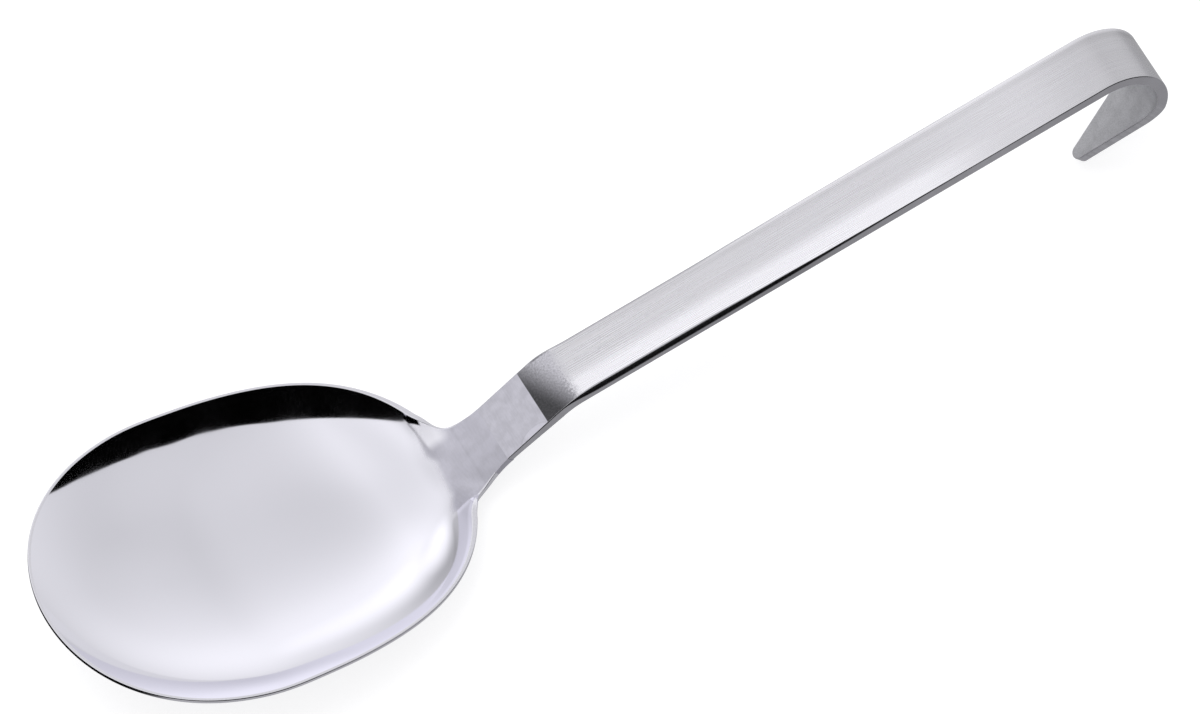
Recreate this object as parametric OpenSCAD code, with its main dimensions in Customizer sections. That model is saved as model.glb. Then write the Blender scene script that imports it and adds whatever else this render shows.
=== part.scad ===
// Serving spoon: a pressed bowl, a strip handle with a hook, and the weld that joins them.
// Millimetres. X runs from the bowl tip to the hook, Y is across, Z is up.
// The spoon lies as it does on a table, on the belly of the bowl and the tip of the hook.
// The origin is under the middle of its length, on the table.

/* [Bowl] */
// Width of the bowl over its rim
bowl_width = 94.8; // [70:0.2:110]
// Length of the bowl from its tip to its widest place
bowl_front = 51.5; // [42:0.5:64]
// Length from the widest place to where the egg outline would close, inside the neck
bowl_rear = 68.5; // [60:0.5:72]
// Depth of the hollow under the plane of the rim
bowl_depth = 13; // [10:0.5:26]
// How much steeper towards the rim than an evenly round hollow
steep_share = 0.25; // [0.1:0.05:0.5]
// Sheet thickness of the bowl
bowl_wall = 1.4; // [0.8:0.1:2]
// How much fuller than an ellipse the front half of the outline is
front_full_share = 0.055; // [0:0.005:0.2]
// How much fuller than an ellipse the rear half of the outline is
rear_full_share = 0.25; // [0:0.01:0.3]
// Where the outline leaves the egg for the neck fillet, along the rear length
fillet_start_share = 0.943; // [0.92:0.001:0.96]

/* [Neck] */
// Thickness of the neck at the weld
neck_wall = 2.1; // [1.4:0.1:3]
// Rise of the neck from the plane of the rim, in degrees
neck_angle = 38.6; // [30:0.2:46]
// Distance from the widest place of the bowl to where the neck crosses the plane of the rim
neck_reach = 74.4; // [71:0.2:80]
// Length of the neck from the plane of the rim to the corner of the knee
neck_run = 29; // [24:0.5:45]

/* [Weld] */
// Distance of the weld from the plane of the rim, along the neck
weld_place = 8.2; // [7:0.1:11]
// Width of the weld on the upper face
weld_top = 3; // [2:0.1:4]
// Width of the weld on the lower face
weld_root = 1.6; // [1:0.1:2]

/* [Grip] */
// Width of the strip, from the bowl to the hook
strip_width = 18; // [14:0.5:24]
// Thickness of the strip along the grip and the hook
strip_wall = 3.2; // [2.2:0.1:4]
// Length from the corner of the knee to the start of the hook
grip_length = 163.7; // [130:0.1:220]
// Turn of the strip at the knee, in degrees
knee_angle = 22.6; // [15:0.2:30]
// Outer radius of the knee
knee_radius = 20; // [12:1:26]
// Radius of the rolled upper edges of the grip
edge_radius = 1.2; // [0.6:0.1:1.8]
// Distance from the corner of the knee to where the rolled edges reach full depth
edge_start = 13.5; // [13:0.5:24]
// Length of grip over which the rolled edges keep their full depth
edge_length = 30; // [10:1:40]

/* [Hook] */
// Inner radius of the hook, which hangs on a rail
hook_radius = 12.4; // [8:0.1:16]
// Turn of the strip round the hook, in degrees
hook_turn = 153; // [140:1:165]
// Length of the straight leg after the turn
hook_leg = 20.8; // [14:0.1:28]
// Slope of each tapered edge of the leg, in degrees
taper_angle = 14.5; // [8:0.5:17]
// Radius of the rounded tip of the leg
tip_radius = 2; // [1:0.1:3]

/* [Hidden] */
$fn = 96;

// One overrun for every cut
over = 1;

// Small step for the slopes of the bowl surface
slope_step = 0.02;

// Facets of the bowl shell
front_rays = 14;
rear_rays = 14;
fillet_rays = 6;
neck_rays = 2;
end_rays = 3;
rings = 16;

// The rim land: level on top, from the edge of the hollow to the outside of the bowl
rim_band = bowl_wall * sin(atan((2 + 2 * steep_share) * bowl_depth / (bowl_width / 2 - bowl_wall)));
hollow_half = bowl_width / 2 - rim_band;
hollow_front = bowl_front - rim_band;
hollow_rear = bowl_rear - rim_band;
neck_half = strip_width / 2;

// The outline's neck fillet touches the egg at fillet_x and the straight neck at fillet_end
fillet_x = hollow_rear * fillet_start_share;
fillet_half = egg_half(fillet_x);
fillet_slope = (egg_half(fillet_x + slope_step) - fillet_half) / slope_step;
fillet_norm = sqrt(1 + fillet_slope * fillet_slope);
fillet_radius = (fillet_half - neck_half) / (1 - 1 / fillet_norm);
fillet_end = fillet_x - fillet_radius * fillet_slope / fillet_norm;

// Stations along the rear of the bowl, measured from its widest place
ramp_x = neck_reach * 0.965;
dip_x = neck_reach * 0.87;
dip_length = neck_reach * 0.15;
thick_x = neck_reach * 0.66;

// The end of the bowl stem, where the weld starts on the upper face
stem_run = weld_place - weld_top / 2;
stem_x = neck_reach + stem_run * cos(neck_angle);
weld_bevel = (weld_top - weld_root) / 2;

// Half width of the egg outline of the hollow at a station
function egg_half(x) =
    let (u = x < 0 ? x / hollow_front : x / hollow_rear)
    let (fuller = x < 0 ? front_full_share : rear_full_share)
    hollow_half * sqrt(max(0, 1 - u * u)) * (1 + fuller * u * u);

// Half width of the hollow, the fillet and the neck at a station
function half_at(x) =
    x < fillet_x ? egg_half(x)
    : x < fillet_end ? neck_half + fillet_radius - sqrt(pow(fillet_radius, 2) - pow(fillet_end - x, 2))
    : neck_half;

function mix(a, b, k) = a + (b - a) * k;
function clamp(k) = min(1, max(0, k));
function ease(k) = let (c = clamp(k)) c * c * c * (c * (c * 6 - 15) + 10);

// Height of the straight neck above the plane of the rim
function ramp(x) = (x - neck_reach) * tan(neck_angle);

// Height of the rim: level, then a shallow dip into the neck
function rim_height(x) = ramp(x) * ease((x - dip_x) / dip_length);

// Height of the middle of the hollow behind the widest place: a quartic that meets the neck
function floor_height(x) =
    let (k = clamp(x / ramp_x))
    let (lift = ramp(ramp_x) + bowl_depth)
    let (start = bowl_depth * (1 - steep_share) * pow(ramp_x / hollow_front, 2))
    let (rest = lift - start)
    let (climb = ramp_x * tan(neck_angle) - 2 * start)
    x > ramp_x ? ramp(x)
    : -bowl_depth + k * k * (start + k * (4 * rest - climb + k * (climb - 3 * rest)));

// Height of the inner surface: an even hollow in front, a spout towards the neck behind
function front_height(x, y) =
    let (u = pow(x / hollow_front, 2))
    let (m = u + pow(y / (hollow_half * (1 + front_full_share * u)), 2))
    bowl_depth * (m * (1 + steep_share * (m - 1)) - 1);
function rear_height(x, y) =
    let (u = clamp(pow(x / hollow_rear, 2)))
    let (s = pow(y / half_at(x), 2))
    let (even = 1 - steep_share + 2 * steep_share * u)
    let (steep = steep_share * (1 - u))
    let (rise = s * (even + steep * s) / (even + steep))
    mix(floor_height(x), rim_height(x), rise);
function height(x, y) = x < 0 ? front_height(x, y) : rear_height(x, y);

// Upward normal of the inner surface
function surface_normal(x, y) =
    let (dx = height(x + slope_step, y) - height(x - slope_step, y))
    let (dy = height(x, y + slope_step) - height(x, y - slope_step))
    let (n = [-dx, -dy, 2 * slope_step])
    n / norm(n);
function wall_at(x) = mix(bowl_wall, neck_wall, ease((x - thick_x) / (stem_x - thick_x)));
function inner_point(x, y) = [x, y, height(x, y)];
function outer_point(x, y) = inner_point(x, y) - wall_at(x) * surface_normal(x, y);

// The outer corner of the rim land, straight above the lower edge of the rim
function rim_corner(x, y) = let (p = outer_point(x, y)) [p.x, p.y, height(x, y)];

// Left half of the outline, from the tip to the middle of the stem end
fillet_turn = atan(-fillet_slope);
half_outline = concat(
    [for (i = [0 : front_rays - 1])
        let (x = -hollow_front * cos(90 * i / front_rays)) [x, egg_half(x)]],
    [for (i = [0 : rear_rays - 1])
        let (x = hollow_rear * sin(asin(fillet_start_share) * i / rear_rays)) [x, egg_half(x)]],
    [for (i = [0 : fillet_rays - 1])
        let (a = fillet_turn * (1 - i / fillet_rays))
        [fillet_end - fillet_radius * sin(a), neck_half + fillet_radius * (1 - cos(a))]],
    [for (i = [0 : neck_rays - 1]) [mix(fillet_end, stem_x, i / neck_rays), neck_half]],
    [for (i = [0 : end_rays]) [stem_x, neck_half * (1 - i / end_rays)]]
);
half_count = len(half_outline);
outline = concat(
    half_outline,
    [for (i = [half_count - 2 : -1 : 1]) [half_outline[i].x, -half_outline[i].y]]
);
rays = len(outline);
end_first = half_count - end_rays - 1;
end_last = half_count + end_rays - 1;

// The rim land runs round the bowl and ends in the fillets
land_last = front_rays + rear_rays + 3;
function on_land(ray) = ray <= land_last || ray >= rays - land_last;

// The last ring of the lower face is bevelled towards the root of the weld
bevel_shift = weld_bevel * [cos(neck_angle), 0, sin(neck_angle)];
function lower_point(ring, ray) =
    let (k = ring / rings)
    outer_point(k * outline[ray].x, k * outline[ray].y)
    + (ring == rings && ray >= end_first && ray <= end_last ? bevel_shift : [0, 0, 0]);

// The knee corner in the frame of the bowl, and the tilt of the rim against the grip
corner_x = neck_reach + neck_run * cos(neck_angle);
corner_z = neck_run * sin(neck_angle);
rim_tilt = neck_angle - knee_angle;

// Every bend stands this much proud of the flats beside it, so that the two always cross
proud = 0.0005;

// Side view of the whole spoon in the frame of the grip: the knee corner is the origin
function turn(p, a) = [p.x * cos(a) - p.y * sin(a), p.x * sin(a) + p.y * cos(a)];
function bowl_to_grip(p) = turn([p.x - corner_x, p.z - corner_z], -rim_tilt);
function neck_point(along, depth) =
    [depth * sin(knee_angle) - along * cos(knee_angle),
     -depth * cos(knee_angle) - along * sin(knee_angle)];
knee_tangent = knee_radius * tan(knee_angle / 2);
knee_centre = [knee_tangent, proud - knee_radius];
hook_outer = hook_radius + strip_wall;
hook_centre = [grip_length, proud - hook_outer];
leg_angle = 90 - hook_turn;
function leg_point(along, radius) = hook_centre
    + radius * [cos(leg_angle), sin(leg_angle)]
    + along * [sin(leg_angle), -cos(leg_angle)];
leg_end = leg_point(hook_leg, hook_outer - proud);

// The spoon leans on the belly of the bowl and the end of the leg
belly_steps = 90;
belly = [for (i = [0 : belly_steps])
    bowl_to_grip(outer_point(mix(-hollow_front / 2, stem_x, i / belly_steps), 0))];
lean = -atan(max([for (p = belly) (p.y - leg_end.y) / (p.x - leg_end.x)]));
table_z = turn(leg_end, lean).y;
tip_points = [for (p = [outer_point(-hollow_front, 0), rim_corner(-hollow_front, 0)])
    turn(bowl_to_grip(p), lean).x];
near_x = min(tip_points);
far_x = turn(hook_centre, lean).x + hook_outer;
middle_x = (near_x + far_x) / 2;

// Places a shape drawn in the frame of the grip
module on_grip() {
    translate([-middle_x, 0, -table_z])
        rotate([0, -lean, 0])
        children();
}

// Places a shape drawn in the frame of the bowl
module on_bowl() {
    on_grip()
        rotate([0, rim_tilt, 0])
        translate([-corner_x, 0, -corner_z])
        children();
}

// Places a shape whose X runs down the neck from the knee corner and whose Z is the upper face
module on_neck() {
    on_grip()
        rotate([0, 180 - knee_angle, 0])
        mirror([0, 0, 1])
        children();
}

// Side view polygon, x along and y up, spread evenly to both sides of the middle
module side_plate(width, points) {
    rotate([90, 0, 0])
        translate([0, 0, -width / 2])
        linear_extrude(width)
        polygon(points);
}

// The pressed shell: an upper and a lower skin of rings, the rim land and the lip under it
module bowl() {
    upper = concat([inner_point(0, 0)],
        [for (i = [1 : rings], j = [0 : rays - 1])
            let (k = i / rings) inner_point(k * outline[j].x, k * outline[j].y)]);
    lower = concat([lower_point(0, 0)],
        [for (i = [1 : rings], j = [0 : rays - 1]) lower_point(i, j)]);
    land = [for (j = [0 : rays - 1]) if (on_land(j)) rim_corner(outline[j].x, outline[j].y)];
    skin = len(upper);
    at = function (i, j) 1 + (i - 1) * rays + j % rays;
    corner = function (j) let (r = j % rays)
        !on_land(r) ? at(rings, r)
        : 2 * skin + (r <= land_last ? r : r - (rays - 1 - 2 * land_last));
    fans = [for (j = [0 : rays - 1]) each [
        [0, at(1, j), at(1, j + 1)],
        [skin, skin + at(1, j + 1), skin + at(1, j)]]];
    bands = [for (i = [1 : rings - 1], j = [0 : rays - 1]) each [
        [at(i, j), at(i + 1, j), at(i, j + 1)],
        [at(i, j + 1), at(i + 1, j), at(i + 1, j + 1)],
        [skin + at(i, j), skin + at(i, j + 1), skin + at(i + 1, j)],
        [skin + at(i, j + 1), skin + at(i + 1, j + 1), skin + at(i + 1, j)]]];
    lip = [for (j = [0 : rays - 1]) each [
        [corner(j), skin + at(rings, j), corner(j + 1)],
        [corner(j + 1), skin + at(rings, j), skin + at(rings, j + 1)]]];
    top = [for (j = [0 : rays - 1]) each [
        if (on_land(j % rays)) [at(rings, j), corner(j), at(rings, j + 1)],
        if (on_land((j + 1) % rays)) [at(rings, j + 1), corner(j), corner(j + 1)]]];
    color("gainsboro")
        on_bowl()
        polyhedron(points = concat(upper, lower, land), faces = concat(fans, bands, lip, top));
}

// The weld, ground flush on both faces, wide above and narrow at the root
weld_near = neck_run - stem_run - weld_top;
module weld_seam() {
    color("silver")
        on_neck()
        side_plate(strip_width, [
            [weld_near, 0],
            [weld_near + weld_top, 0],
            [weld_near + weld_top - weld_bevel, -neck_wall],
            [weld_near + weld_bevel, -neck_wall]]);
}

// A round bar across the spoon
module cross_bar(centre, radius, width) {
    translate([centre.x, width / 2, centre.y])
        rotate([90, 0, 0])
        cylinder(h = width, r = radius);
}

// Everything under the upper face of the strip
module under_top() {
    side_plate(strip_width, [
        neck_point(weld_near + 2 * weld_bevel, 2 * neck_wall),
        neck_point(weld_near, 0),
        neck_point(knee_tangent, 0),
        [knee_tangent, 0],
        [grip_length, 0],
        leg_point(0, hook_outer - proud),
        leg_end,
        leg_point(hook_leg, hook_radius - over)]);
    cross_bar(knee_centre, knee_radius, strip_width);
    cross_bar(hook_centre, hook_outer, strip_width);
}

// Everything under the lower face of the strip, which thins down the neck
thinning = (strip_wall - neck_wall) / (weld_near + weld_bevel - knee_tangent);
module under_bottom() {
    width = strip_width + 2 * over;
    below = neck_point(weld_near + weld_bevel + over, neck_wall - thinning * over);
    beyond = leg_point(hook_leg + over, hook_radius - proud);
    side_plate(width, [
        [-2 * knee_radius, -3 * knee_radius],
        [-2 * knee_radius, below.y],
        below,
        neck_point(knee_tangent - over / 5, strip_wall + thinning * over / 5),
        [knee_tangent, -strip_wall],
        [grip_length, -strip_wall],
        leg_point(0, hook_radius - proud),
        beyond,
        [beyond.x, -3 * knee_radius]]);
    cross_bar(knee_centre, knee_radius - strip_wall, width);
    cross_bar(hook_centre, hook_radius, width);
}

// Section of the cut that rolls the two upper edges, upper face along y = 0
edge_lift = 8 * proud;
module edge_section() {
    for (side = [-1, 1])
        scale([side, 1])
        translate([strip_width / 2 - edge_radius + edge_lift, edge_lift - edge_radius])
        difference() {
            square(edge_radius + over);
            circle(edge_radius);
        }
}

// The cut along the grip, easing in at the knee and fading out slowly towards the hook
fine_turns = 1440;
near_lift = 70;
far_lift = 2800;
function lift_turn(radius) = ceil(acos(1 - (edge_radius + over / 10) / radius));
module edge_cut() {
    translate([edge_start, 0, 0])
        rotate([90, 0, 90])
        linear_extrude(edge_length)
        edge_section();
    translate([edge_start, 0, near_lift])
        rotate([90, 0, 0])
        rotate_extrude(angle = lift_turn(near_lift), start = 270 - lift_turn(near_lift))
        translate([near_lift, 0])
        rotate(90)
        edge_section();
    translate([edge_start + edge_length, 0, far_lift])
        rotate([90, 0, 0])
        rotate_extrude(angle = lift_turn(far_lift), start = 270, $fn = fine_turns)
        translate([far_lift, 0])
        rotate(90)
        edge_section();
}

// What is trimmed off the end of the hook to leave a tapered leg with a rounded tip
tip_place = hook_leg - tip_radius;
function leg_half(along) =
    tip_radius / cos(taper_angle) + (tip_place - along) * tan(taper_angle);
taper_from = tip_place - (strip_width / 2 - leg_half(tip_place)) / tan(taper_angle);
module leg_waste() {
    touch = [tip_place + tip_radius * sin(taper_angle), tip_radius * cos(taper_angle)];
    back = taper_from - 2 * over;
    rotate([0, 90 - leg_angle, 0])
        linear_extrude(hook_outer + over)
        difference() {
            translate([taper_from - over, -strip_width])
                square([hook_leg + 2 * over - taper_from, 2 * strip_width]);
            polygon([
                touch,
                [back, leg_half(back)],
                [back, -leg_half(back)],
                [touch.x, -touch.y]]);
            translate([tip_place, 0])
                circle(tip_radius + proud);
        }
}

// The strip: neck, knee, grip and hook in one piece
module handle() {
    color("lightgray")
        difference() {
            on_grip()
                under_top();
            on_grip()
                under_bottom();
            on_grip()
                edge_cut();
            on_grip()
                translate([hook_centre.x, 0, hook_centre.y])
                leg_waste();
        }
}

bowl();
weld_seam();
handle();
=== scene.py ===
import math

import bpy
import numpy as np
from mathutils import Matrix, Vector


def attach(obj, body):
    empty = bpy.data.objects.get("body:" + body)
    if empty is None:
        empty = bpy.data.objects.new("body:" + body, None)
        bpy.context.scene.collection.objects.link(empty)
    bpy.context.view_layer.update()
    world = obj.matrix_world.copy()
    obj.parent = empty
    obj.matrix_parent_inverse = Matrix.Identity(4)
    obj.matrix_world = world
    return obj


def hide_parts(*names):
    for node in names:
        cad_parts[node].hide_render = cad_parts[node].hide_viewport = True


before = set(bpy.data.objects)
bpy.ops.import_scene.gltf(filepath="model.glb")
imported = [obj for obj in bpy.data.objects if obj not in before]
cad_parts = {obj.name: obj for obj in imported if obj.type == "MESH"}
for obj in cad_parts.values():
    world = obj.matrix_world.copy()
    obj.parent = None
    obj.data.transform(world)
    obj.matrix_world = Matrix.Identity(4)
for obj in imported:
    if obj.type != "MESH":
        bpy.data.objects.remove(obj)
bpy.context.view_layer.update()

# Lengths of the spoon are millimetres, as in the CAD source; every mesh is scaled to metres.
MM = 0.001

# Named values of the CAD source
BOWL_WIDTH, BOWL_FRONT, BOWL_REAR, BOWL_DEPTH, BOWL_WALL = 94.8, 51.5, 68.5, 13.0, 1.4
STEEP, FRONT_FULL, REAR_FULL, FILLET_START = 0.25, 0.055, 0.25, 0.943
NECK_WALL, NECK_ANGLE, NECK_REACH, NECK_RUN = 2.1, math.radians(38.6), 74.4, 29.0
WELD_PLACE, WELD_TOP, WELD_ROOT = 8.2, 3.0, 1.6
STRIP_HALF, STRIP_WALL, GRIP_LENGTH = 9.0, 3.2, 163.7
KNEE_ANGLE, KNEE_RADIUS = math.radians(22.6), 20.0
HOOK_RADIUS, HOOK_TURN, HOOK_LEG = 12.4, math.radians(153.0), 20.8
TAPER, TIP_RADIUS = math.radians(14.5), 2.0

# Where the frame of the grip lies in the shared frame
LEAN, MIDDLE_X, TABLE_Z = math.radians(6.26198), 15.1966, -22.1029
RIM_TILT = NECK_ANGLE - KNEE_ANGLE
CORNER_X = NECK_REACH + NECK_RUN * math.cos(NECK_ANGLE)
CORNER_Z = NECK_RUN * math.sin(NECK_ANGLE)


def turned(p, angle):
    c, s = math.cos(angle), math.sin(angle)
    return np.stack([p[..., 0] * c - p[..., 2] * s, p[..., 1], p[..., 0] * s + p[..., 2] * c], -1)


def grip_to_world(p):
    return turned(p, LEAN) - np.array([MIDDLE_X, 0.0, TABLE_Z])


def bowl_to_world(p):
    return grip_to_world(turned(p - np.array([CORNER_X, 0.0, CORNER_Z]), -RIM_TILT))


def bowl_turn_to_world(v):
    return turned(v, LEAN - RIM_TILT)


def smooth(x, a, b):
    k = np.clip((np.asarray(x, float) - a) / (b - a), 0.0, 1.0)
    return k * k * (3 - 2 * k)


def ease(k):
    c = np.clip(k, 0.0, 1.0)
    return c ** 3 * (c * (c * 6 - 15) + 10)


def unit(v):
    return v / np.maximum(np.linalg.norm(v, axis=-1, keepdims=True), 1e-9)


# ---------------------------------------------------------------- the bowl's surface
RIM_SLOPE = (2 + 2 * STEEP) * BOWL_DEPTH / (BOWL_WIDTH / 2 - BOWL_WALL)
RIM_BAND = BOWL_WALL * math.sin(math.atan(RIM_SLOPE))
HALF, FRONT, REAR = BOWL_WIDTH / 2 - RIM_BAND, BOWL_FRONT - RIM_BAND, BOWL_REAR - RIM_BAND
# Step of the numeric slopes
STEP = 0.02
# The front and rear forms blend over this distance, so that reflections run on without a kink
BLEND = 18.0


def rear_share(x):
    return ease((x + BLEND) / (2 * BLEND))


def egg(x, length, full):
    u = np.square(x / length)
    return HALF * np.sqrt(np.maximum(0.0, 1 - u)) * (1 + full * u)


def egg_half(x):
    x, w = np.asarray(x, float), rear_share(x)
    return (1 - w) * egg(x, FRONT, FRONT_FULL) + w * egg(x, REAR, REAR_FULL)


# The fillet that leads from the egg into the straight sides of the stem
FILLET_X = REAR * FILLET_START
FILLET_SLOPE = float(egg_half(FILLET_X + STEP) - egg_half(FILLET_X)) / STEP
FILLET_NORM = math.hypot(1.0, FILLET_SLOPE)
FILLET_RADIUS = (float(egg_half(FILLET_X)) - STRIP_HALF) / (1 - 1 / FILLET_NORM)
FILLET_END = FILLET_X - FILLET_RADIUS * FILLET_SLOPE / FILLET_NORM


def rear_half(x):
    """Half width of the rear form: egg, fillet and stem."""
    x = np.asarray(x, float)
    oval = egg(np.minimum(np.abs(x), REAR - 1.0), REAR, REAR_FULL)
    back = FILLET_END - np.clip(x, FILLET_X, FILLET_END)
    fillet = STRIP_HALF + FILLET_RADIUS - np.sqrt(np.maximum(0.0, FILLET_RADIUS ** 2 - back ** 2))
    return np.where(x < FILLET_X, oval, np.where(x < FILLET_END, fillet, STRIP_HALF))


# Where the floor meets the stem's ramp, where the rim starts to follow it and over which length,
# and where the wall starts to thicken
RAMP_X, DIP_X, DIP_LENGTH, THICK_X = (NECK_REACH * k for k in (0.965, 0.87, 0.15, 0.66))
STEM_RUN = WELD_PLACE - WELD_TOP / 2
STEM_X = NECK_REACH + STEM_RUN * math.cos(NECK_ANGLE)
WELD_BEVEL = (WELD_TOP - WELD_ROOT) / 2
RISE = math.tan(NECK_ANGLE)


def ramp(x):
    return (x - NECK_REACH) * RISE


def floor_height(x):
    """Height of the middle line of the rear form, from the lowest point up to the stem."""
    k = np.minimum(x / RAMP_X, 1.0)
    start = BOWL_DEPTH * (1 - STEEP) * (RAMP_X / FRONT) ** 2
    rest = ramp(RAMP_X) + BOWL_DEPTH - start
    climb = RAMP_X * RISE - 2 * start
    curved = -BOWL_DEPTH + k * k * (start + k * (4 * rest - climb + k * (climb - 3 * rest)))
    return np.where(x > RAMP_X, ramp(x), curved)


def height(x, y):
    """Height of the hollow: the front form, the rear form and their blend."""
    x, y = np.asarray(x, float), np.asarray(y, float)
    u = (x / FRONT) ** 2
    m = u + (y / (HALF * (1 + FRONT_FULL * u))) ** 2
    front = BOWL_DEPTH * (m * (1 + STEEP * (m - 1)) - 1)
    v = np.clip((x / REAR) ** 2, 0.0, 1.0)
    s = (y / rear_half(x)) ** 2
    even, steep = 1 - STEEP + 2 * STEEP * v, STEEP * (1 - v)
    rise = s * (even + steep * s) / (even + steep)
    low, rim = floor_height(x), ramp(x) * ease((x - DIP_X) / DIP_LENGTH)
    w = rear_share(x)
    return (1 - w) * np.where(w < 1, front, 0.0) + w * np.where(w > 0, low + (rim - low) * rise, 0.0)


def surface_normal(x, y):
    dx = height(x + STEP, y) - height(x - STEP, y)
    dy = height(x, y + STEP) - height(x, y - STEP)
    return unit(np.stack([-dx, -dy, np.full_like(dx, 2 * STEP)], -1))


def inner_point(x, y):
    return np.stack([x, y, height(x, y)], -1)


def outer_point(x, y):
    wall = BOWL_WALL + (NECK_WALL - BOWL_WALL) * ease((x - THICK_X) / (STEM_X - THICK_X))
    return inner_point(x, y) - wall[..., None] * surface_normal(x, y)


# ---------------------------------------------------------------- mesh helpers
def new_object(name, points, faces, attributes, material_index=None, normals=None, flat_from=None):
    """Mesh object from points in mm. Faces from index flat_from on are shaded flat; rows of
    normals that hold numbers replace the computed ones."""
    mesh = bpy.data.meshes.new(name)
    mesh.from_pydata((points * MM).tolist(), [], faces)
    smooth_faces = len(faces) if flat_from is None else flat_from
    mesh.polygons.foreach_set("use_smooth", [i < smooth_faces for i in range(len(faces))])
    for key, values in attributes.items():
        layer = mesh.attributes.new(key, "FLOAT", "POINT")
        layer.data.foreach_set("value", np.asarray(values, np.float32))
    if material_index is not None:
        mesh.polygons.foreach_set("material_index", material_index)
    mesh.update()
    if normals is not None:
        computed = np.zeros(len(points) * 3)
        mesh.vertex_normals.foreach_get("vector", computed)
        computed = computed.reshape(-1, 3)
        known = ~np.isnan(normals[:, 0])
        computed[known] = normals[known]
        mesh.normals_split_custom_set_from_vertices(computed.tolist())
    obj = bpy.data.objects.new(name, mesh)
    bpy.context.scene.collection.objects.link(obj)
    return obj


def ring_faces(count, rows):
    """Quads between closed rings of count points, rows rings in all."""
    faces = []
    for r in range(rows - 1):
        a, b = r * count, (r + 1) * count
        for j in range(count):
            k = (j + 1) % count
            faces.append((a + j, a + k, b + k, b + j))
    return faces


def degenerate(points, face):
    a, b, c, d = (points[i] for i in face)
    return np.linalg.norm(np.cross(c - a, d - b)) < 1e-9


def between(a, b, share):
    return a + (b - a) * share


def rounded(before, corner, after, reach, steps):
    """Points that round a corner of every profile, reach mm back along both sides."""
    most = 0.45             # of the length of a side
    a, b = unit(before - corner), unit(after - corner)
    ra = np.minimum(reach, most * np.linalg.norm(before - corner, axis=-1))[:, None]
    rb = np.minimum(reach, most * np.linalg.norm(after - corner, axis=-1))[:, None]
    shares = [i / steps for i in range(steps + 1)]
    return [corner + (1 - t) ** 2 * ra * a + t * t * rb * b for t in shares]


# ---------------------------------------------------------------- bowl
N_FRONT, N_REAR, N_FILLET, N_STEM, N_END, N_RINGS = 120, 120, 40, 16, 10, 56
# The rings lie closer together towards the rim, up to the last one
RING_CROWDING, LAST_RING = 1.35, 0.9985
# Least width of the rim's flat, the width from which it lies level, and the lean of the sheet's
# edge from which it has the rim's finish
LEAST_LAND, WIDE_LAND, RIM_FINISH_FROM = 0.18, 0.5, 0.25
# Roundings of the rim's three corners, from the hollow to the underside
ROUND_HOLLOW, ROUND_CORNER, ROUND_UNDER = 0.34, 0.26, 0.22


def bowl_outline():
    """Closed outline of the hollow with the stem's end, and its outward normals."""
    xs = [-FRONT * math.cos(math.pi / 2 * i / N_FRONT) for i in range(N_FRONT)]
    xs += [REAR * math.sin(math.asin(FILLET_START) * i / N_REAR) for i in range(N_REAR)]
    left = [(x, float(egg_half(x))) for x in xs]
    for i in range(N_FILLET):
        a = math.atan(-FILLET_SLOPE) * (1 - i / N_FILLET)
        left.append((FILLET_END - FILLET_RADIUS * math.sin(a),
                     STRIP_HALF + FILLET_RADIUS * (1 - math.cos(a))))
    left += [(between(FILLET_END, STEM_X, i / N_STEM), STRIP_HALF) for i in range(N_STEM)]
    left += [(STEM_X, STRIP_HALF * (1 - i / N_END)) for i in range(N_END + 1)]
    out = np.array(left + [(x, -y) for x, y in reversed(left[1:-1])])
    step = np.roll(out, -1, 0) - np.roll(out, 1, 0)
    return out, unit(np.stack([-step[:, 1], step[:, 0]], -1))


def rim_profiles():
    """Outline, where the stem ends, width of the rim's flat, and its three corners per profile:
    where the hollow ends, the outer corner and the lower corner."""
    outline, side = bowl_outline()
    ends = outline[:, 0] > STEM_X - 1e-6
    lower = outer_point(outline[:, 0], outline[:, 1])
    shift = np.maximum(0.0, np.sum((lower[:, :2] - outline) * side, -1))
    shift[ends] = 0.0
    land = np.where(ends, 0.0, np.maximum(shift, LEAST_LAND))
    corner = np.zeros((len(outline), 3))
    corner[:, :2] = outline + shift[:, None] * side
    corner[:, 2] = height(outline[:, 0], outline[:, 1])
    start = corner[:, :2] - land[:, None] * side
    start[ends, 1] = np.clip(start[ends, 1], LEAST_LAND - STRIP_HALF, STRIP_HALF - LEAST_LAND)
    inner = inner_point(start[:, 0], start[:, 1])
    wide = land > WIDE_LAND
    inner[wide, 2] = corner[wide, 2]
    lower[ends] += WELD_BEVEL * np.array([math.cos(NECK_ANGLE), 0.0, math.sin(NECK_ANGLE)])
    return outline, ends, shift, start, inner, corner, lower


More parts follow.
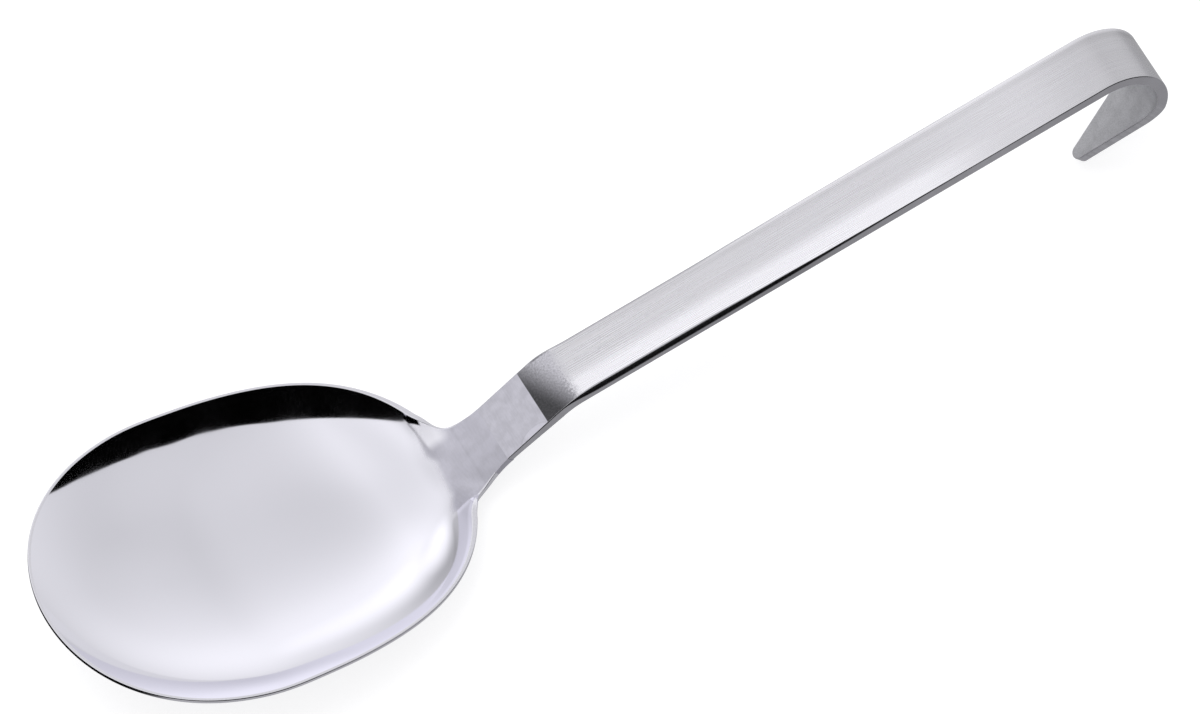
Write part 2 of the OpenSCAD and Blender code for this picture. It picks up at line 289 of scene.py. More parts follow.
def make_bowl():
    outline, ends, shift, start, inner, corner, lower = rim_profiles()
    rays = len(outline)
    ks = [1 - (1 - i / N_RINGS) ** RING_CROWDING for i in range(1, N_RINGS)] + [LAST_RING]
    up = [inner_point(k * start[:, 0], k * start[:, 1]) for k in ks]
    up_normals = [surface_normal(k * start[:, 0], k * start[:, 1]) for k in ks]
    low = [outer_point(k * outline[:, 0], k * outline[:, 1]) for k in ks]
    low_normals = [-surface_normal(k * outline[:, 0], k * outline[:, 1]) for k in ks]

    # The rim: three rounded corners, with rows close to them that keep the flats flat
    c1 = rounded(up[-1], inner, corner, ROUND_HOLLOW, 5)
    c2 = rounded(inner, corner, lower, ROUND_CORNER, 5)
    c3 = rounded(corner, lower, low[-1], ROUND_UNDER, 4)
    for group, sharp in ((c1, inner), (c2, corner), (c3, lower)):
        for row in group:
            row[ends] = sharp[ends]
    upper_flat = [between(c1[-1], c2[0], share) for share in (0.12, 0.88)]
    outer_flat = [between(c2[-1], c3[0], share) for share in (0.15, 0.85)]
    rim_rows = c1 + upper_flat + c2 + outer_flat + c3
    rows = up + rim_rows + low[::-1]
    middle = np.zeros(1)
    points = np.concatenate(rows + [inner_point(middle, middle), outer_point(middle, middle)])
    count = len(rows) * rays
    faces = ring_faces(rays, len(rows))
    last = count - rays
    faces += [(count, (j + 1) % rays, j) for j in range(rays)]
    faces += [(count + 1, last + j, last + (j + 1) % rays) for j in range(rays)]

    # True normals of the surface, and at the stem's end those of its upper and lower face
    normals = np.full((count + 2, 3), np.nan)
    for i, row in enumerate(up_normals):
        normals[i * rays:(i + 1) * rays] = bowl_turn_to_world(row)
    for i, row in enumerate(low_normals[::-1]):
        a = (len(up) + len(rim_rows) + i) * rays
        normals[a:a + rays] = bowl_turn_to_world(row)
    at_end = bowl_turn_to_world(surface_normal(outline[ends, 0], outline[ends, 1]))
    upper_rows = len(c1) + len(upper_flat) + len(c2)
    for i in range(len(rim_rows)):
        a = (len(up) + i) * rays
        normals[a:a + rays][ends] = at_end if i < upper_rows else -at_end
    normals[count] = bowl_turn_to_world(surface_normal(middle, middle))[0]
    normals[count + 1] = -normals[count]

    # Station along the bowl, distance across it and share of the way out, for the finishes
    along = np.concatenate([p[:, 0] for p in rows] + [np.zeros(2)])
    across = np.concatenate([p[:, 1] for p in rows] + [np.zeros(2)])
    ring_shares = ks + [1.0] * len(rim_rows) + ks[::-1]
    share = np.concatenate([np.repeat(ring_shares, rays), np.zeros(2)])
    finish = np.zeros(len(faces), int)
    on_rim = (shift > RIM_FINISH_FROM) & (np.roll(shift, -1) > RIM_FINISH_FROM)
    for r in range(len(up) - 1, len(up) + len(rim_rows) - 1):
        finish[r * rays:(r + 1) * rays][on_rim] = 1
    keep = [i for i, f in enumerate(faces) if len(f) == 3 or not degenerate(points, f)]
    return new_object("bowl_shell", bowl_to_world(points), [faces[i] for i in keep],
                      {"along": along, "across": across, "share": share},
                      finish[keep].tolist(), normals)


# ---------------------------------------------------------------- strip
KNEE_TANGENT = KNEE_RADIUS * math.tan(KNEE_ANGLE / 2)
HOOK_OUTER = HOOK_RADIUS + STRIP_WALL
LEG_ANGLE = math.pi / 2 - HOOK_TURN
WELD_NEAR = NECK_RUN - STEM_RUN - WELD_TOP
TIP_PLACE = HOOK_LEG - TIP_RADIUS
THINNING = (STRIP_WALL - NECK_WALL) / (WELD_NEAR + WELD_BEVEL - KNEE_TANGENT)
LEG_START = GRIP_LENGTH + HOOK_OUTER * HOOK_TURN


def place(s, y, depth):
    """A point of the strip from its place along the upper face, across it and below it.

    s runs from the weld (negative) over the middle of the knee (0) along the grip to the tip of
    the leg. The knee's arc is stretched a little so that s is the plain length on the grip."""
    s, y, depth = np.broadcast_arrays(np.asarray(s, float), y, depth)
    neck = np.stack([depth * math.sin(KNEE_ANGLE) + s * math.cos(KNEE_ANGLE), y,
                     -depth * math.cos(KNEE_ANGLE) + s * math.sin(KNEE_ANGLE)], -1)
    a = math.pi / 2 + KNEE_ANGLE * (0.5 - s / (2 * KNEE_TANGENT))
    knee = np.stack([KNEE_TANGENT + (KNEE_RADIUS - depth) * np.cos(a), y,
                     -KNEE_RADIUS + (KNEE_RADIUS - depth) * np.sin(a)], -1)
    grip = np.stack([s, y, -depth], -1)
    a = math.pi / 2 - (s - GRIP_LENGTH) / HOOK_OUTER
    hook = np.stack([GRIP_LENGTH + (HOOK_OUTER - depth) * np.cos(a), y,
                     -HOOK_OUTER + (HOOK_OUTER - depth) * np.sin(a)], -1)
    c, t, run = math.cos(LEG_ANGLE), math.sin(LEG_ANGLE), s - LEG_START
    leg = np.stack([GRIP_LENGTH + (HOOK_OUTER - depth) * c + run * t, y,
                    -HOOK_OUTER + (HOOK_OUTER - depth) * t - run * c], -1)
    pick = s[..., None]
    out = np.where(pick < -KNEE_TANGENT, neck, np.where(pick < KNEE_TANGENT, knee, grip))
    return np.where(pick > LEG_START, leg, np.where(pick > GRIP_LENGTH, hook, out))


def wall_at(s):
    return max(NECK_WALL, STRIP_WALL - THINNING * max(0.0, -s - KNEE_TANGENT))


def leg_half(run):
    return TIP_RADIUS / math.cos(TAPER) + (TIP_PLACE - run) * math.tan(TAPER)


def curve(x, knots):
    """Smooth curve through (place, value) pairs."""
    out = knots[0][1]
    for (x0, y0), (x1, y1) in zip(knots, knots[1:]):
        if x >= x0:
            out = y0 + (y1 - y0) * float(smooth(x, x0, x1))
    return out


# How far the roll of the upper edge reaches in from the side and down, along the strip
EDGE_IN = [(-19, 0.24), (-3, 0.24), (9, 1.3), (44, 1.3), (62, 0.8), (82, 0.45), (104, 0.3), (126, 0.22)]
EDGE_DOWN = [(-19, 0.30), (-3, 0.30), (9, 1.5), (46, 1.5), (64, 1.15), (82, 0.8), (102, 0.5), (126, 0.3)]
MOST_DOWN = 0.6             # of the wall
LOW_EDGE = 0.28
# The grip's upper face falls by this much from the middle to the sides
CROWN = 0.06
# How softly the taper of the leg leaves the full width, in mm squared
TAPER_SOFTNESS = 0.04
N_TOP, N_EDGE, N_LOW, N_UNDER = 12, 8, 4, 8


def half_section():
    """Rows of (share across, share of the upper inset, share of the upper drop, share of the side,
    share of the lower rounding) from the middle of the upper face to the middle of the lower one."""
    rows = [(f, 1.0, 0.0, 0.0, 0.0) for f in list(np.linspace(0, 0.95, N_TOP)) + [0.985, 1.0]]
    for i in range(1, N_EDGE + 1):
        a = math.pi / 2 * i / N_EDGE
        rows.append((1.0, 1 - math.sin(a), 1 - math.cos(a), 0.0, 0.0))
    rows += [(1.0, 0.0, 1.0, f, 0.0) for f in (0.05, 0.35, 0.65, 0.95, 1.0)]
    rows += [(1.0, 0.0, 1.0, 1.0, i / N_LOW) for i in range(1, N_LOW + 1)]
    rows += [(f, 0.0, 1.0, 1.0, 1.0) for f in [0.985] + list(np.linspace(0.95, 0, N_UNDER))]
    return rows


def half_width(s, depth, width):
    """Half width at a depth: on the hook and leg the cut of the taper is one flat plane."""
    if s <= GRIP_LENGTH:
        return width
    back = max(0.0, LEG_START - s) / HOOK_OUTER
    run = s - LEG_START if back == 0.0 else -(HOOK_OUTER - depth) * math.sin(min(back, 1.5))
    if run >= TIP_PLACE:
        return width
    free = STRIP_HALF - leg_half(run)
    return STRIP_HALF - 0.5 * (free + math.sqrt(free * free + TAPER_SOFTNESS))


def section_loop(section, s, width, along, across, slant):
    """Half a section at s as points (s, y, depth) and as places (s, y, kind) for the finishes.
    kind is 0 on the upper face, 1 on the side and 2 on the lower face."""
    wall, edge_in = wall_at(s), curve(s, EDGE_IN)
    edge_down = min(curve(s, EDGE_DOWN), MOST_DOWN * wall)
    crown = CROWN * float(smooth(s, -9, 4)) * float(smooth(-s, -150, -120))
    points, tags = [], []
    for f, inset, drop, side, low in section:
        if low > 0.0:
            turn = math.pi / 2 * low
            depth, shift = wall - LOW_EDGE + LOW_EDGE * math.sin(turn), LOW_EDGE * (1 - math.cos(turn))
        elif drop < 1.0:
            depth, shift = edge_down * drop, edge_in * inset
        else:
            depth, shift = edge_down + (wall - LOW_EDGE - edge_down) * side, 0.0
        if drop == 0.0:
            depth += crown * f * f
        y = f * max(0.0, half_width(s, depth, width) - shift * across)
        points.append((s - shift * along + slant * depth / wall, y, depth))
        tags.append((s, y, 0.0 if drop == 0.0 else 1.0 + low))
    return points, tags


def both_sides(rows):
    """Closed loops from half loops, whose first and last points lie in the middle."""
    return np.concatenate([rows, rows[:, -2:0:-1] * np.array([1.0, -1.0, 1.0])], 1)


def strip_mesh(name, stations):
    """stations: (s, half width, way of the side's normal along and across, slant), where slant is
    the shift along the strip at the lower face."""
    section = half_section()
    halves = [section_loop(section, *station) for station in stations]
    full = both_sides(np.array([points for points, _ in halves]))
    tags = both_sides(np.array([tags for _, tags in halves]))
    count = full.shape[1]
    caps = [(full[0], stations[0][0]), (full[-1], stations[-1][0])]
    hubs = [(loop[:, 0].mean(), 0.0, wall_at(s) / 2) for loop, s in caps]
    flat = np.concatenate([full.reshape(-1, 3), full[0], full[-1], hubs])
    points = grip_to_world(place(flat[:, 0], flat[:, 1], flat[:, 2]))
    faces = ring_faces(count, len(stations))
    caps_from = len(faces)
    # End caps as fans round a point in the middle of the wall, on rims of their own
    first = len(stations) * count
    last, hub = first + count, first + 2 * count
    for j in range(count):
        k = (j + 1) % count
        faces.append((first + k, first + j, hub))
        faces.append((last + j, last + k, hub + 1))
    tags = np.concatenate([tags.reshape(-1, 3), tags[0], tags[-1], [(s, 0.0, 2.0) for _, s in caps]])
    return new_object(name, points, [f[::-1] for f in faces],
                      {"s": tags[:, 0], "t": tags[:, 1], "kind": tags[:, 2]}, flat_from=caps_from)


def make_handle():
    stretches = ((-WELD_NEAR, -KNEE_TANGENT, 26), (-KNEE_TANGENT, KNEE_TANGENT, 33),
                 (KNEE_TANGENT, GRIP_LENGTH, 130), (GRIP_LENGTH, LEG_START, 120))
    stations = []
    for start, end, count in stretches:
        for s in np.linspace(start, end, count)[:-1]:
            slant = -WELD_BEVEL * float(smooth(-s, WELD_NEAR - 2.0, WELD_NEAR))
            stations.append((s, STRIP_HALF, 0.0, 1.0, slant))
    touch = TIP_PLACE + TIP_RADIUS * math.sin(TAPER)
    for run in np.linspace(0.0, touch, 24)[:-1]:
        k = float(smooth(run, 0.0, 3.0))
        stations.append((LEG_START + run, leg_half(run), k * math.sin(TAPER), math.cos(TAPER), 0.0))
    for a in np.linspace(TAPER, math.pi / 2, 20):
        run = TIP_PLACE + TIP_RADIUS * math.sin(a)
        stations.append((LEG_START + run, TIP_RADIUS * math.cos(a), math.sin(a), math.cos(a), 0.0))
    return strip_mesh("handle_strip", stations)


def make_weld():
    return strip_mesh("weld_bead", [(-(WELD_NEAR + WELD_TOP * (1 - f)), STRIP_HALF, 0.0, 1.0,
                                     -WELD_BEVEL * (2 * f - 1)) for f in np.linspace(0, 1, 13)])


# ---------------------------------------------------------------- materials
class Nodes:
    """Short helpers for node trees; plain numbers are set on the sockets."""

    def __init__(self, tree):
        self.tree = tree
        tree.nodes.clear()

    def put(self, target, value):
        if isinstance(value, bpy.types.NodeSocket):
            self.tree.links.new(value, target)
        else:
            target.default_value = value

    def add(self, kind, settings=None, **sockets):
        """A node with its settings; sockets go by name, or by number as in0, in1 and so on."""
        node = self.tree.nodes.new(kind)
        for key, value in (settings or {}).items():
            setattr(node, key, value)
        for key, value in sockets.items():
            numbered = key.startswith("in") and key[2:].isdigit()
            self.put(node.inputs[int(key[2:]) if numbered else key.replace("_", " ")], value)
        return node

    def output(self, kind, shader):
        self.put(self.add(kind).inputs[0], shader.outputs[0])

    def math(self, op, a, b=0.0, clamp=False):
        settings = {"operation": op, "use_clamp": clamp}
        return self.add("ShaderNodeMath", settings, in0=a, in1=b).outputs[0]

    def plus(self, first, *others):
        for other in others:
            first = self.math("ADD", first, other)
        return first

    def times(self, first, *others):
        for other in others:
            first = self.math("MULTIPLY", first, other)
        return first

    def minus(self, a, b, clamp=False):
        return self.math("SUBTRACT", a, b, clamp)

    def off(self, value, centre):
        """Distance of a value from a centre."""
        return self.math("ABSOLUTE", self.minus(value, centre))

    def most(self, a, b):
        return self.math("MAXIMUM", a, b)

    def attribute(self, name):
        return self.add("ShaderNodeAttribute", {"attribute_name": name}).outputs["Fac"]

    def span(self, value, low, high, out_low=0.0, out_high=1.0, kind="SMOOTHSTEP"):
        """Maps low..high to out_low..out_high and stays level outside."""
        node = self.add("ShaderNodeMapRange", {"interpolation_type": kind})
        for socket, number in zip(node.inputs[:5], (value, low, high, out_low, out_high)):
            self.put(socket, number)
        return node.outputs[0]

    def vector(self, x, y, z=0.0):
        return self.add("ShaderNodeCombineXYZ", None, X=x, Y=y, Z=z).outputs[0]

    def parts(self, vector):
        return self.add("ShaderNodeSeparateXYZ", None, Vector=vector).outputs

    def noise(self, vector, scale, detail=2.0, rough=0.5):
        return self.add("ShaderNodeTexNoise", None, Vector=vector, Scale=scale, Detail=detail,
                        Roughness=rough).outputs[0]

    def mix_colour(self, factor, a, b):
        return self.add("ShaderNodeMix", {"data_type": "RGBA"}, in0=factor, in6=a, in7=b).outputs[2]

    def mix(self, factor, a, b):
        return self.add("ShaderNodeMix", {"data_type": "FLOAT"}, in0=factor, in2=a, in3=b).outputs[0]

    def bump(self, height, strength, distance):
        return self.add("ShaderNodeBump", None, Height=height, Strength=strength,
                        Distance=distance).outputs[0]

    def steel(self, colour, roughness, normal, metallic=1.0):
        self.output("ShaderNodeOutputMaterial", self.add(
            "ShaderNodeBsdfPrincipled", None, Base_Color=colour, Metallic=metallic,
            Roughness=roughness, Normal=normal))


def material(name):
    made = bpy.data.materials.new(name)
    made.use_nodes = True
    return made, Nodes(made.node_tree)


# Colours of the finishes, some carrying painted light and shade; pairs run from dark to light
POLISHED = (0.915, 0.907, 0.988, 1.0)
# Grey of a painted reflection band on the near wall
PAINTED_REFLECTION_GREY = (0.76, 0.753, 0.82, 1.0)
STEM = (0.51, 0.503, 0.565, 1.0), (0.78, 0.768, 0.865, 1.0)
# Pale colour of the far ground corner, a painted highlight
STEM_CORNER_HIGHLIGHT = (0.93, 0.92, 0.99, 1.0)
RIM = (0.85, 0.843, 0.91, 1.0), (0.91, 0.902, 0.97, 1.0)
# Satin grip colours, which carry painted light and shade
SATIN_PAINTED_SHADING = (0.0, 0.0, 0.0, 1.0), (0.955, 0.947, 1.0, 1.0)
NECK = (0.54, 0.532, 0.595, 1.0), (0.80, 0.788, 0.885, 1.0)
# Bend colours; the dark end is painted shade
BEND_SHADE_PAINTED = (0.065, 0.065, 0.07, 1.0), (0.74, 0.73, 0.80, 1.0)
INSIDE = (0.50, 0.50, 0.525, 1.0), (0.74, 0.74, 0.775, 1.0)
EDGE = (0.50, 0.495, 0.53, 1.0), (0.62, 0.615, 0.66, 1.0)
# Ground and brushed surfaces scatter a part of the light evenly; these are their metallic values
SCATTERING, CORNER_SCATTERING = 0.72, 0.25
# Heights of the relief, in metres
RELIEF, RIM_RELIEF = 0.00006, 0.00003
# Places of the finish lines: on the stem, on the weld and across the neck of the strip
STEM_LINE, WELD_LINE, KNEE_LINE = 72.9, -21.2, (-7.62, -7.42)


def polished_steel():
    """Mirror finish with faint polishing haze, going over into ground steel on the stem, with a painted
    highlight on the far ground corner and a painted reflection band on the near wall.
    """
    made, n = material("steel_polished")
    along, across, share = n.attribute("along"), n.attribute("across"), n.attribute("share")
    where = n.vector(along, across)
    haze = n.noise(where, 0.09, 3.0, 0.55)
    cloud = n.noise(where, 0.28, 3.0, 0.5)
    lines = n.noise(n.vector(n.times(along, 0.12), n.times(across, 3.0)), 1.0, 3.0)
    grain = n.noise(n.vector(n.times(along, 2.2), n.times(across, 0.35)), 1.0, 4.0, 0.6)

    # Ground stem, whose border reaches further into the bowl on both sides than in the middle
    reach = n.plus(along, n.times(across, -0.10), n.span(across, 4.0, 8.0, 0.0, 1.8),
                   n.span(across, -11.0, -6.0, 1.6, 0.0))
    stem = n.times(n.span(reach, 64.1, 66.6), n.span(across, -12.6, -12.1))
    # Ground corner beside it on the far wall, painted bright: partly its ground finish, partly a painted
    # highlight
    far_reach = n.plus(along, n.times(n.minus(across, 14.0), 0.25))
    corner = n.times(n.span(far_reach, 63.9, 64.9), n.span(across, 7.0, 10.0),
                     n.span(along, 68.5, 72.5, 1.0, 0.0))
    # The far wall stays polished up to the tip of its dark reflection
    tip_side = n.plus(n.times(along, 1.1), across)
    tip_end = n.plus(along, n.times(n.minus(across, 14.0), 0.1))
    tip = n.times(n.span(tip_side, 86.5, 87.0), n.span(tip_end, 65.7, 66.2, 1.0, 0.0))
    stem = n.times(n.most(stem, corner), n.minus(1.0, tip))

    mark = n.times(n.span(n.off(along, STEM_LINE), 0.0, 0.55, 1.0, 0.0), stem)
    tone = n.plus(n.span(cloud, 0.35, 0.65, -0.10, 0.10), n.span(grain, 0.3, 0.7, -0.10, 0.10))
    tone = n.minus(tone, n.times(mark, 0.15))
    tone = n.plus(tone, n.span(across, -9.0, 4.0, -0.22, 0.08))
    ground = n.mix_colour(n.math("ADD", tone, 0.5, clamp=True), *STEM)
    # Painted highlight on the ground corner
    ground = n.mix_colour(corner, ground, STEM_CORNER_HIGHLIGHT)
    # Painted reflection: a darker grey band along the near wall beside the stem
    inner_edge = n.span(along, 38.0, 62.0, 0.965, 0.915, "LINEAR")
    # Painted reflection band: darker near the rim on the near side
    painted_reflection_band = n.times(n.span(n.minus(share, inner_edge), 0.0, 0.014), n.span(share, 0.980, 0.992, 1.0, 0.0),
                   n.span(along, 38.0, 50.0), n.span(across, -14.5, -12.8, 1.0, 0.0))
    colour = n.mix_colour(stem, n.mix_colour(painted_reflection_band, POLISHED, PAINTED_REFLECTION_GREY), ground)

    rough = n.mix(stem, n.span(haze, 0.3, 0.7, 0.04, 0.065), n.span(grain, 0.3, 0.7, 0.48, 0.58))
    relief = n.plus(n.times(n.minus(lines, 0.5), n.mix(stem, 0.02, 0.0)),
                    n.times(n.minus(grain, 0.5), n.mix(stem, 0.0, 0.35)))
    metal = n.mix(stem, 1.0, n.mix(corner, SCATTERING, CORNER_SCATTERING))
    n.steel(colour, rough, n.bump(relief, 0.35, RELIEF), metal)
    return made


def rim_steel():
    """Ground flat of the rim and the lip under it."""
    made, n = material("steel_rim")
    along, across = n.attribute("along"), n.attribute("across")
    grain = n.noise(n.vector(n.times(along, 2.4), n.times(across, 2.4)), 1.0, 4.0, 0.6)
    colour = n.mix_colour(n.span(grain, 0.3, 0.7), *RIM)
    n.steel(colour, n.span(grain, 0.3, 0.7, 0.13, 0.19), n.bump(grain, 0.12, RIM_RELIEF))
    return made


def strip_steel(name):
    """Brushed strip: satin grip with painted light and shade, ground neck with a painted facet highlight,
    granular bend with painted dark shade, matt lower face with painted shade at its edges.
    """
    made, n = material(name)
    s, t, kind = n.attribute("s"), n.attribute("t"), n.attribute("kind")
    where = n.vector(s, t, n.times(kind, 3.0))
    brush = n.noise(n.vector(n.times(s, 0.045), n.times(t, 2.6), kind), 1.0, 4.0, 0.62)
    broad = n.noise(n.vector(n.times(s, 0.012), n.times(t, 0.55), kind), 1.0, 2.0, 0.5)
    cross = n.noise(n.vector(n.times(s, 2.4), n.times(t, 0.3), kind), 1.0, 4.0, 0.6)
    fleck = n.noise(where, 3.4, 3.0, 0.7)
    speckle = n.noise(where, 1.7, 4.0, 0.8)
    cloud = n.noise(where, 0.3, 3.0, 0.5)

    # Satin grip with painted light and shade: lighter along the near side until near the hook, a darker
    # line before the far edge, a lighter far edge and darker towards the hook
    tone = n.plus(n.times(n.span(t, -5.2, -0.2, 0.265, 0.0), n.span(s, 104.0, 138.0, 1.0, 0.0)),
                  n.span(n.off(t, 6.9), 0.0, 1.7, -0.05, 0.0), n.span(t, 7.5, 8.5, 0.0, 0.17),
                  n.span(s, 100.0, 135.0, 0.0, 0.03), n.span(s, 140.0, 168.0, 0.0, -0.14),
                  n.span(brush, 0.3, 0.7, -0.012, 0.012), n.span(broad, 0.3, 0.7, -0.012, 0.012))
    satin = n.mix_colour(n.math("ADD", tone, 0.745, clamp=True), *SATIN_PAINTED_SHADING)

    # Ground neck, with a painted highlight of an oval facet on its near edge (lighter inside a darker
    # outline; the facet is not in the geometry) and a faint line on the weld
    tone = n.plus(n.span(cloud, 0.35, 0.65, 0.30, 0.60), n.span(cross, 0.3, 0.7, -0.10, 0.10))
    painted_facet_oval = n.plus(n.math("POWER", n.math("DIVIDE", n.plus(s, 12.5), 4.6), 2.0),
                   n.math("POWER", n.math("DIVIDE", n.plus(t, 9.2), 2.3), 2.0))
    tone = n.plus(tone, n.span(painted_facet_oval, 0.80, 1.0, 0.22, 0.0))
    tone = n.minus(tone, n.span(n.off(painted_facet_oval, 1.06), 0.0, 0.16, 0.16, 0.0))
    tone = n.minus(tone, n.span(n.off(s, WELD_LINE), 0.0, 0.5, 0.04, 0.0), clamp=True)
    neck = n.mix_colour(tone, *NECK)

    # Granular bend with painted dark shade, deepest beside the finish line and on the near side, and
    # painted shade along its far edge
    depth = n.plus(s, n.times(t, 0.50))
    grains = n.times(n.span(speckle, 0.36, 0.64, -1.0, 1.0, "LINEAR"), n.span(depth, -6.0, 2.5, 0.04, 0.22))
    rim_shade = n.times(n.span(t, 8.0, 8.4), n.span(n.off(s, 1.5), 3.0, 5.0, 1.0, 0.0), 0.4)
    tone = n.minus(n.plus(n.span(depth, -7.5, 4.5, 0.02, 0.82), grains), rim_shade, clamp=True)
    bend = n.mix_colour(tone, *BEND_SHADE_PAINTED)

    # Matt lower face, which is also the inner side of the hook, with painted shade towards both edges
    tone = n.plus(n.span(fleck, 0.25, 0.75, 0.2, 0.9), n.span(cloud, 0.3, 0.7, -0.15, 0.15))
    # Painted shade: darker towards both edges
    tone = n.minus(tone, n.span(n.math("ABSOLUTE", t), 6.6, 8.8, 0.0, 0.5), clamp=True)
    inside = n.mix_colour(tone, *INSIDE)
    edge = n.mix_colour(n.span(brush, 0.3, 0.7), *EDGE)

    # Where each finish lies: beyond the bend, before the knee's line, on the side and below
    past_bend = n.span(n.plus(s, n.span(speckle, 0.36, 0.64, -1.2, 1.2, "LINEAR")), 1.6, 5.2)
    before_line = n.span(s, *KNEE_LINE, 1.0, 0.0)
    side, low = n.span(kind, 0.35, 0.75), n.span(kind, 1.3, 1.8)
    colour = n.mix_colour(before_line, n.mix_colour(past_bend, bend, satin), neck)
    colour = n.mix_colour(low, n.mix_colour(side, colour, edge), inside)

    rough = n.mix(past_bend, 0.5, n.span(brush, 0.3, 0.7, 0.24, 0.32))
    rough = n.mix(before_line, rough, n.span(cross, 0.3, 0.7, 0.32, 0.42))
    rough = n.mix(low, n.mix(side, rough, 0.22), 0.55)
    relief = n.mix(past_bend, fleck, n.times(brush, 0.22))
    relief = n.mix(low, n.mix(before_line, relief, n.times(cross, 0.5)), fleck)
    metal = n.mix(n.times(side, n.minus(1.0, low)), SCATTERING, 1.0)
    n.steel(colour, rough, n.bump(relief, 0.3, RELIEF), metal)
    return made


# ---------------------------------------------------------------- the spoon
mirror, rim = polished_steel(), rim_steel()
strip, seam = strip_steel("steel_strip"), strip_steel("steel_weld")

bowl = make_bowl()
bowl.data.materials.append(mirror)
bowl.data.materials.append(rim)
handle = make_handle()
handle.data.materials.append(strip)
weld = make_weld()
weld.data.materials.append(seam)
for piece, node, finish in ((bowl, "bowl", "bowl_steel"), (handle, "handle", "handle_steel"),
                            (weld, "weld_seam", "weld_steel")):
    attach(piece, "root")
    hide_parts(node)


# ---------------------------------------------------------------- camera
FRAME_WIDTH, FRAME_HEIGHT = 1200, 714
PIXELS_PER_MM = 3.81
DISTANCE = 7.5              # metres
SENSOR = 36.0
# The picture's right and up in the frame of the grip, and a point of the grip with its pixel
RIGHT = unit(np.array([0.860, -0.465, -0.209]))
UP = np.array([0.5045, 0.716, 0.482])
UP = unit(UP - RIGHT * (RIGHT @ UP))
SEEN_POINT, SEEN_PIXEL = np.array([2.98, 0.0, 0.0]), (562.50, 373.32)


def make_camera():
    right, up = turned(RIGHT, LEAN), turned(UP, LEAN)
    back = np.cross(right, up)
    aim = SEEN_POINT + (RIGHT * (FRAME_WIDTH / 2 - SEEN_PIXEL[0])
                        + UP * (SEEN_PIXEL[1] - FRAME_HEIGHT / 2)) / PIXELS_PER_MM
    place_camera = grip_to_world(aim) * MM + back * DISTANCE
    data = bpy.data.cameras.new("camera")
    data.sensor_width = SENSOR
    data.lens = SENSOR * DISTANCE / (FRAME_WIDTH / PIXELS_PER_MM * MM)
    data.clip_start, data.clip_end = 0.5, 40.0
    camera = bpy.data.objects.new("camera", data)
    bpy.context.scene.collection.objects.link(camera)
    rows = [(right[i], up[i], back[i], place_camera[i]) for i in range(3)]
    camera.matrix_world = Matrix(rows + [(0.0, 0.0, 0.0, 1.0)])
    bpy.context.scene.camera = camera


# ---------------------------------------------------------------- floor, studio and light
FLOOR_HALF, FLOOR_Z, FLOOR_ROWS = 12.0, -0.0003, 9
FLOOR_COLOUR, FLOOR_GLOW = (0.40, 0.40, 0.41, 1.0), 0.74
# Colour of the floor's painted glow in reflections
PAINTED_FLOOR_GLOW_COLOUR = (0.99, 0.99, 1.0, 1.0)
WHITE = (1.0, 1.0, 1.0, 1.0)


def reflected(n, path):
    """1 for the rays that mirrors and glass send out."""
    return n.most(path.outputs["Is Glossy Ray"], path.outputs["Is Transmission Ray"])


def make_floor():
    axis = np.linspace(-FLOOR_HALF, FLOOR_HALF, FLOOR_ROWS)
    pts = np.array([(x, y, FLOOR_Z) for y in axis for x in axis]) / MM
    faces = []
    for j in range(FLOOR_ROWS - 1):
        for i in range(FLOOR_ROWS - 1):
            a = j * FLOOR_ROWS + i
            faces.append((a, a + 1, a + 1 + FLOOR_ROWS, a + FLOOR_ROWS))
    floor = new_object("floor", pts, faces, {})
    made, n = material("floor_white")
    path = n.add("ShaderNodeLightPath")
    cloth = n.add("ShaderNodeBsdfDiffuse", None, Color=FLOOR_COLOUR)
    glow = n.add("ShaderNodeEmission", None, Color=WHITE,
                 Strength=n.times(path.outputs["Is Camera Ray"], FLOOR_GLOW))
    both = n.add("ShaderNodeAddShader", None, in0=cloth.outputs[0], in1=glow.outputs[0])
    # In reflections the floor shows a painted glow: grey beside the spoon, dark further off on the camera's
    # side and brighter behind the spoon. Lengths are metres; away is the distance from the spoon's edge.
    x, y, _ = n.parts(n.add("ShaderNodeNewGeometry").outputs["Position"])
    spoon_half = n.span(x, -0.06, -0.02, 0.047, 0.009)
    away = n.most(n.minus(n.times(y, -1.0), spoon_half), n.minus(n.times(x, -1.0), 0.150))
    away = n.minus(away, n.span(x, 0.06, 0.115, 0.0, 0.035))
    lit = n.plus(n.span(away, 0.016, 0.028, 0.44, 0.0), n.span(y, 0.06, 0.20, 0.0, 0.28))
    painted_floor_glow = n.add("ShaderNodeEmission", None, Color=PAINTED_FLOOR_GLOW_COLOUR, Strength=lit)
    n.output("ShaderNodeOutputMaterial", n.add("ShaderNodeMixShader", None, in0=reflected(n, path),
                                               in1=both.outputs[0], in2=painted_floor_glow.outputs[0]))
    floor.data.materials.append(made)


# The studio in reflections: an even level that changes with the direction, and round panels of
# (azimuth, elevation, inner and outer radius in degrees, strength)
LEVEL, LEVEL_X, LEVEL_Y, LEVEL_UP, LEAST_LEVEL = 0.483, 0.283, -0.110, 0.565, 0.1
PANELS = [(80.8, 16.7, 0.5, 12.7, 0.279), (165.8, 27.0, 70.4, 88.9, 0.234),
          (68.9, 8.9, 0.0, 45.9, 0.369), (-13.3, 68.2, 22.5, 74.8, -0.440),
          (94.9, 19.5, 1.7, 13.3, 0.500), (91.1, 12.3, 4.1, 20.3, -0.399),
          (147.7, 39.6, 20.0, 32.0, -0.10), (38.5, 43.1, 1.9, 23.3, 0.081)]
# Upper edge of the dark screen, as -y/z of the directions there: parts that change with x
SCREEN_LEAN = [(0.24, 0.465, 0.331, 0.482), (0.50, 0.68, 0.0, 0.014), (0.76, 0.92, 0.0, -0.045),
               (-0.975, -0.935, -0.14, 0.0)]
SCREEN_SOFTNESS = 0.005
SURROUND = 0.85             # strength for the even light that matt surfaces receive


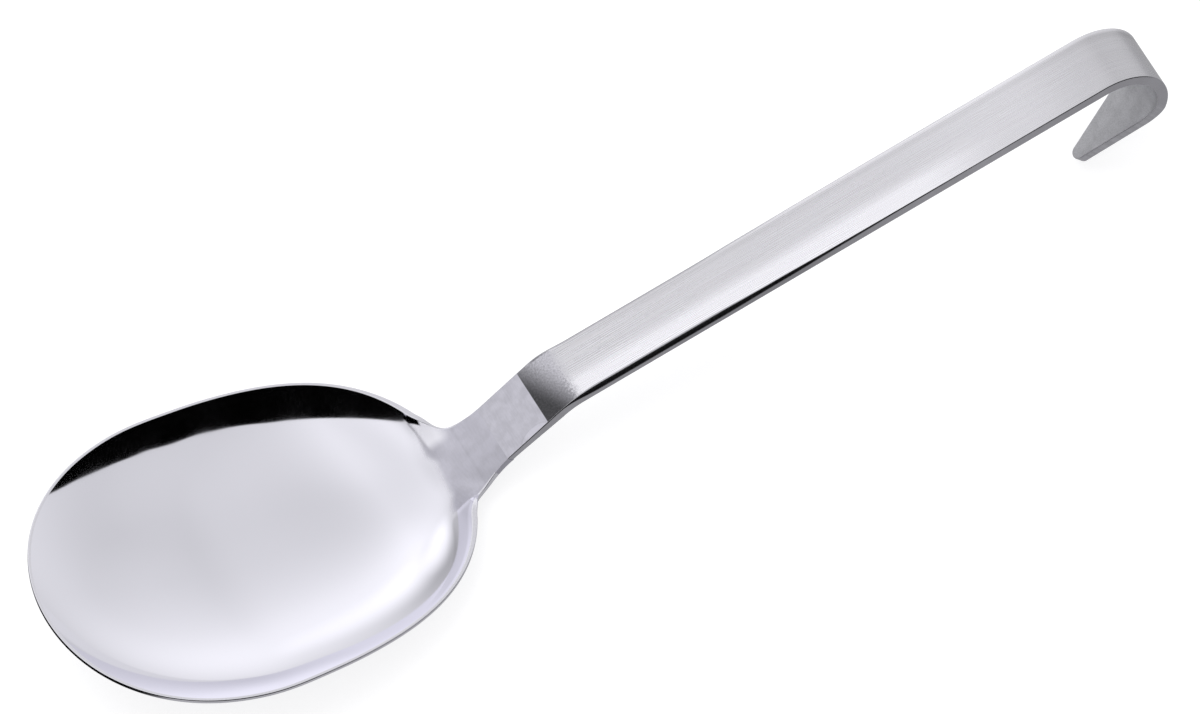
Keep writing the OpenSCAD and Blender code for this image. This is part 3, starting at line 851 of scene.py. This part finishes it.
def make_world():
    """White to the camera; in reflections a soft studio with a bright wall behind the spoon, a
    plain ceiling and a large dark screen on the camera's side; an even grey for all other light."""
    world = bpy.data.worlds.new("studio")
    world.use_nodes = True
    bpy.context.scene.world = world
    n = Nodes(world.node_tree)
    path = n.add("ShaderNodeLightPath")
    way = n.add("ShaderNodeTexCoord").outputs["Generated"]
    x, y, z = n.parts(way)
    up = n.most(z, 0.0)

    level = n.plus(n.times(x, LEVEL_X), n.times(y, LEVEL_Y), n.times(up, LEVEL_UP), LEVEL)
    for azimuth, elevation, inner, outer, strength in PANELS:
        az, el = math.radians(azimuth), math.radians(elevation)
        centre = (math.cos(el) * math.cos(az), math.cos(el) * math.sin(az), math.sin(el))
        cosine = n.add("ShaderNodeVectorMath", {"operation": "DOT_PRODUCT"}, in0=way, in1=centre)
        angle = n.math("ARCCOSINE", cosine.outputs["Value"])
        level = n.plus(level, n.span(angle, math.radians(inner), math.radians(outer), strength, 0.0))
    level = n.most(level, LEAST_LEVEL)
    lean = n.plus(*(n.span(x, *part) for part in SCREEN_LEAN))
    above = n.plus(y, n.times(up, lean))
    level = n.times(level, n.span(above, -SCREEN_SOFTNESS, SCREEN_SOFTNESS))
    level = n.mix(reflected(n, path), SURROUND, level)
    level = n.mix(path.outputs["Is Camera Ray"], level, 1.0)
    n.output("ShaderNodeOutputWorld", n.add("ShaderNodeBackground", None, Color=WHITE, Strength=level))


def soft_lamp(name, place_m, size, power):
    """Square lamp that points at the origin and shows neither to the camera nor in reflections."""
    data = bpy.data.lights.new(name, "AREA")
    data.shape, data.size, data.size_y, data.energy = "RECTANGLE", size, size, power
    lamp = bpy.data.objects.new(name, data)
    bpy.context.scene.collection.objects.link(lamp)
    lamp.location = place_m
    lamp.rotation_mode = "QUATERNION"
    lamp.rotation_quaternion = Vector(place_m).to_track_quat("Z", "Y")
    lamp.visible_glossy = False
    lamp.visible_camera = False


make_camera()
make_floor()
make_world()
soft_lamp("softbox_overhead", (-0.4, 0.5, 2.2), 1.6, 13.0)

view = bpy.context.scene.view_settings
view.view_transform = "Standard"
